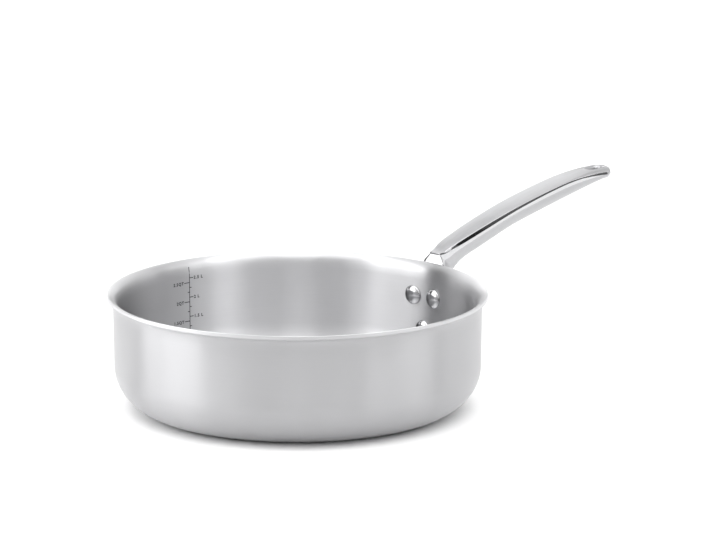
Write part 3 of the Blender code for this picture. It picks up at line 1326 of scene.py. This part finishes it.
@dataclass(frozen=True)
class FillingScale:
    """The etched measuring marks on the inside wall, one set on each side of a line."""

    sheet: Sheet
    size: ScaleSize
    sides: Sequence[ScaleSide]

    def height_of(self, side: ScaleSide, amount: float) -> float:
        """Return the height above the table of the mark for an amount."""
        return side.top - (side.labels[-1] - amount) * self.size.unit_height

    def bar(self, left: float, right: float, low: float, high: float) -> bpy.types.Object:
        """Draw a flat bar in the plane of the unrolled wall.

        Args:
            left: Its left end.
            right: Its right end.
            low: Its lower edge.
            high: Its upper edge.

        Returns:
            The bar, cut fine enough to be rolled.
        """
        deselect()
        bpy.ops.mesh.primitive_cube_add(
            size=1.0, location=((left + right) / 2.0, (low + high) / 2.0, 0.0),
            scale=(right - left, high - low, self.size.proud),
        )
        settle()
        bar = bpy.context.object
        edit(bar)
        bpy.ops.mesh.subdivide(number_cuts=self.size.cuts)
        bpy.ops.object.mode_set(mode="OBJECT")
        return bar

    def words(self, text: str, start: float, height: float, align: str) -> bpy.types.Object:
        """Write small letters in the plane of the unrolled wall.

        Args:
            text: The letters.
            start: Where they start or end.
            height: The height of their middle.
            align: Which end start is, as the text object names it.

        Returns:
            The letters as a mesh.
        """
        size = self.size
        deselect()
        bpy.ops.object.text_add(location=(start, height - size.letter * size.letter_drop, 0.0))
        curve = bpy.context.object
        curve.data.body = text
        curve.data.size = size.letter
        curve.data.offset = size.letter_weight
        curve.data.space_character = size.letter_spacing
        curve.data.align_x = align
        curve.data.extrude = size.proud / 2.0
        bpy.ops.object.convert(target="MESH")
        settle()
        letters = bpy.context.object
        edit(letters)
        bpy.ops.mesh.remove_doubles(threshold=WELD)
        bpy.ops.object.mode_set(mode="OBJECT")
        return letters

    def tick(self, end: float, height: float) -> bpy.types.Object:
        """Return a mark from the line to one side of it."""
        half = self.size.line / 2.0
        return self.bar(min(0.0, end), max(0.0, end), height - half, height + half)

    def roll(self, piece: bpy.types.Object) -> None:
        """Lay a flat piece on the inside wall.

        Args:
            piece: The piece, drawn in the plane of the unrolled wall.
        """
        for vert in piece.data.vertices:
            across, height, rise = vert.co
            wall = self.sheet.inside(height)
            turn = math.radians(self.size.bearing) - across / wall
            reach = wall - self.size.proud / 2.0 - rise
            vert.co = (reach * math.cos(turn), reach * math.sin(turn), height)

    def finish_piece(
        self, name: str, marks: Sequence[bpy.types.Object], material: bpy.types.Material
    ) -> None:
        """Join marks into one piece and lay it on the wall.

        Args:
            name: The piece's name.
            marks: Its bars or letters.
            material: Its finish.
        """
        deselect()
        for mark in marks:
            mark.select_set(True)
        bpy.context.view_layer.objects.active = marks[0]
        if len(marks) > 1:
            bpy.ops.object.join()
        piece = new_piece(name)
        self.roll(piece)
        edit(piece)
        bpy.ops.mesh.normals_make_consistent(inside=False)
        bpy.ops.object.mode_set(mode="OBJECT")
        dress(piece, material)
        hand_over(piece, "inner_steel")

    def build(self, material: bpy.types.Material) -> None:
        """Etch the line and both sets of marks.

        Args:
            material: Their finish.
        """
        size = self.size
        line = self.bar(-size.line / 2.0, size.line / 2.0, size.low, size.high)
        self.finish_piece("scale_line", [line], material)
        for side in self.sides:
            marks, words = [], []
            for amount in side.labels:
                minor = self.height_of(side, amount - size.minor_step)
                marks.append(self.tick(side.side * size.minor_tick, minor))
                height = self.height_of(side, amount)
                marks.append(self.tick(side.side * side.tick, height))
                start = side.side * (side.tick + size.gap)
                align = "LEFT" if side.side > 0 else "RIGHT"
                words.append(self.words(f"{amount:g}{side.unit}", start, height, align))
            self.finish_piece(f"scale_ticks_{side.name}", marks, material)
            self.finish_piece(f"scale_numbers_{side.name}", words, material)


# The studio


@dataclass(frozen=True)
class Softbox:
    """A bank of soft light panels on a ring round the pan, in degrees."""

    name: str
    start: float
    end: float
    low: float
    high: float
    strength: float
    distance: float = 2.6
    widest: float = 30.0
    tallest: float = 40.0


@dataclass(frozen=True)
class Viewpoint:
    """Where the photograph was taken from, its lens in pixels of the photograph."""

    place: Tuple[float, float, float] = (-2.857, -2.912, 1.022)
    tilt: float = 77.14
    bearing: float = -45.0
    focal_length: float = 6500.0
    photo_width: float = 716.0
    sensor: float = 36.0
    sight: float = 100.0


@dataclass(frozen=True)
class Studio:
    """The pale sweep, the soft lights and the camera."""

    boxes: Sequence[Softbox]
    view: Viewpoint
    floor_size: float = 60.0
    world_glow: float = 0.03
    narrowest: float = 0.5

    def floor(self) -> None:
        """Lay the pale sweep."""
        deselect()
        bpy.ops.mesh.primitive_plane_add(size=self.floor_size)
        floor = new_piece("studio_floor")
        dress(floor, PAPER.make())

    def panel(self, box: Softbox, name: str, bearing: float, rise: float, size: Point) -> None:
        """Hang one light panel that faces the pan.

        Args:
            box: The bank that it belongs to.
            name: The light's name.
            bearing: Its bearing in degrees.
            rise: Its height in degrees.
            size: How wide and how tall it looks from the pan, in degrees.
        """
        turn, lift = math.radians(bearing), math.radians(rise)
        place = box.distance * Vector((
            math.cos(turn) * math.cos(lift), math.sin(turn) * math.cos(lift), math.sin(lift),
        ))
        deselect()
        bpy.ops.object.light_add(type="AREA", location=place)
        lamp = bpy.context.object
        lamp.name = name
        lamp.data.shape = "RECTANGLE"
        across, tall = (
            2.0 * box.distance * math.tan(math.radians(angle / 2.0)) for angle in size
        )
        lamp.data.size, lamp.data.size_y = across, tall
        lamp.data.energy = math.pi * across * tall * box.strength
        lamp.rotation_euler = (-place).to_track_quat("-Z", "Y").to_euler()

    def light(self) -> None:
        """Hang the softboxes."""
        for box in self.boxes:
            columns = math.ceil((box.end - box.start) / box.widest)
            rows = math.ceil((box.high - box.low) / box.tallest)
            wide = (box.end - box.start) / columns
            tall = (box.high - box.low) / rows
            for i, j in itertools.product(range(columns), range(rows)):
                rise = box.low + tall * (j + 0.5)
                size = (wide * max(math.cos(math.radians(rise)), self.narrowest), tall)
                name = f"{box.name}_{i + 1}_{j + 1}"
                self.panel(box, name, box.start + wide * (i + 0.5), rise, size)
        world = bpy.data.worlds.new("studio_dark")
        world.use_nodes = True
        glow = world.node_tree.nodes["Background"].inputs
        glow["Color"].default_value = (1.0, 1.0, 1.0, 1.0)
        glow["Strength"].default_value = self.world_glow
        bpy.context.scene.world = world

    def camera(self) -> None:
        """Put the camera where the photograph was taken from."""
        view = self.view
        deselect()
        bpy.ops.object.camera_add(
            location=view.place,
            rotation=(math.radians(view.tilt), 0.0, math.radians(view.bearing)),
        )
        camera = bpy.context.object
        camera.name = "studio_camera"
        camera.data.sensor_width = view.sensor
        camera.data.lens = view.focal_length / view.photo_width * view.sensor
        camera.data.dof.use_dof = False
        camera.data.clip_end = view.sight
        bpy.context.scene.camera = camera

    def build(self) -> None:
        """Set the studio up."""
        self.floor()
        self.light()
        self.camera()
        bpy.context.scene.view_settings.view_transform = "Standard"


SHEET = Sheet()
LAYERS = (
    Layer("outer_shell", "outer_ply", "outer_steel", 0.0, 0.55 * MM, OUTER_STEEL),
    Layer("core_band", "aluminium_core", "core_aluminium", 0.56 * MM, 2.14 * MM, CORE_ALUMINIUM),
    Layer("inner_shell", "inner_ply", "inner_steel", 2.15 * MM, 2.7 * MM, INNER_STEEL),
)
RIVET_PLACES = (
    RivetPlace("rivet_upper_left", 9.25 * MM, 54.0 * MM),
    RivetPlace("rivet_upper_right", -9.25 * MM, 54.0 * MM),
    RivetPlace("rivet_lower", 0.0, 31.7 * MM),
)
NECK = (
    NeckRow(-3.7, -10.0, -3.7, -33.0, 10.0, 4.0, 1.0, 2.0),
    NeckRow(-1.6, -5.5, 3.4, -26.0, 9.8, 4.0, 1.8, 2.0),
    NeckRow(0.1, 0.2, 11.0, -15.8, 9.1, 4.3, 1.4, 2.0),
    NeckRow(0.95, 2.8, 14.3, -11.5, 7.0, 4.4, 0.9, 1.7),
    NeckRow(1.6, 4.7, 16.0, -9.5, 5.3, 4.1, 0.5, 1.5),
    NeckRow(1.7, 5.0, 16.5, -9.0, 5.0, 4.0, 0.4, 1.6),
    NeckRow(1.6, 5.9, 17.2, -8.4, 4.9, 3.9, 0.4, 1.6),
    NeckRow(2.2, 6.2, 17.9, -7.8, 5.0, 4.0, 0.4, 1.7),
    NeckRow(5.0, 6.8, 19.2, -6.6, 5.5, 4.5, 0.5, 1.7),
    NeckRow(7.8, 7.8, 21.0, -5.1, 6.2, 4.8, 0.6, 1.7),
)
GRIP = (
    GripRow(0.0, 0.0, 46.0, 1.26, 0.75, 0.895, 0.0, 1.9),
    GripRow(0.034, 0.066, 41.5, 1.205, 0.83, 0.91, 0.0, 2.4),
    GripRow(0.08, 0.14, 36.0, 1.148, 0.87, 0.93, 0.0, 2.7),
    GripRow(0.20, 0.315, 22.0, 1.092, 0.946, 0.965, 0.0, 2.6),
    GripRow(0.40, 0.57, 15.0, 1.0, 1.0, 1.0, 0.0, 2.0),
    GripRow(0.60, 0.77, 12.0, 0.972, 1.0, 1.035, 0.0, 1.5),
    GripRow(0.77, 0.91, 9.0, 0.908, 1.0, 1.088, 0.1, 1.5),
    GripRow(0.90, 0.98, 6.0, 0.775, 1.0, 1.228, 0.6, 2.5),
    GripRow(1.0, 1.0, 4.0, 0.606, 1.0, 1.368, 1.0, 4.2),
)
# The neck's row at its crest, where the top plate starts, counted from its last row
CREST_ROW = -4
SCALE_SIDES = (
    ScaleSide("litres", " L", 1, 64.5 * MM, 3.0 * MM, (1.5, 2.0, 2.5)),
    ScaleSide("quarts", "QT", -1, 61.4 * MM, 4.4 * MM, (1.5, 2.0, 2.5)),
)
NEAR = 0.5
SOFTBOXES = (
    Softbox("back_edge", 20.0, 30.0, 0.5, 65.0, 1.3),
    Softbox("back", 30.0, 40.0, 0.5, 35.0, 1.07),
    Softbox("back_high", 30.0, 100.0, 35.0, 65.0, 1.07),
    Softbox("back_strip", 40.0, 60.0, 12.0, 35.0, 1.93),
    Softbox("back_left", 60.0, 100.0, 0.5, 35.0, 1.21),
    Softbox("left_back", 100.0, 110.0, 0.5, 65.0, 0.86),
    Softbox("left_dim", 110.0, 130.0, 0.5, 35.0, 0.17),
    Softbox("left_high", 110.0, 130.0, 35.0, 65.0, 1.5),
    Softbox("left_key", 130.0, 150.0, 12.0, 65.0, 2.28),
    Softbox("left_low", 130.0, 190.0, 0.5, 12.0, 0.5),
    Softbox("left_front", 150.0, 190.0, 12.0, 35.0, 1.47),
    Softbox("front_high", 150.0, 300.0, 35.0, 65.0, 1.43),
    Softbox("front_left", 190.0, 210.0, 0.5, 35.0, 0.5),
    Softbox("front", 210.0, 280.0, 12.0, 35.0, 0.89),
    Softbox("right_front", 280.0, 300.0, 0.5, 35.0, 0.16),
    Softbox("right", 300.0, 326.0, 19.0, 65.0, 1.75),
    Softbox("right_dim", 307.0, 309.0, 0.5, 19.0, 0.1),
    Softbox("right_glow", 309.0, 326.0, 0.5, 19.0, 0.16),
    Softbox("right_back", 326.0, 380.0, 12.0, 65.0, 1.08),
    Softbox("right_low", 326.0, 380.0, 0.5, 12.0, 0.9),
    Softbox("near_left_low", 125.0, 140.0, 0.5, 12.0, 1.59, NEAR, 15.0),
    Softbox("near_left", 125.0, 170.0, 12.0, 35.0, 2.11, NEAR, 15.0),
    Softbox("near_left_high", 125.0, 170.0, 35.0, 65.0, 0.92, NEAR, 15.0),
    Softbox("near_front", 265.0, 285.0, 12.0, 65.0, 0.65, NEAR, 15.0, 30.0),
    Softbox("near_right", 285.0, 310.0, 19.0, 35.0, 1.5, NEAR, 15.0),
    Softbox("near_right_high", 285.0, 315.0, 35.0, 65.0, 1.42, NEAR, 15.0),
    Softbox("top_box", -50.0, 50.0, 65.0, 115.0, 2.4, widest=120.0, tallest=60.0),
)


def main() -> None:
    """Build the pan, its handle, its marks and the studio."""
    logging.basicConfig(level=logging.INFO, format="%(message)s")
    rivets = Rivets(SHEET, RivetSize(), RIVET_PLACES)
    PanShell(SHEET, LAYERS, rivets).build()
    # The keel's finish is satin steel darkened as painted shade.
    Handle(HandleSize(), NECK, GRIP, rivets).build(
        POLISHED_STEEL.make(), SATIN_STEEL.make(), KEEL_SATIN_AND_SHADE_STEEL.make()
    )
    rivets.build(RIVET_STEEL.make())
    FillingScale(SHEET, ScaleSize(), SCALE_SIDES).build(ETCHED.make())
    Studio(SOFTBOXES, Viewpoint()).build()
    deselect()


if __name__ == "__main__":
    main()
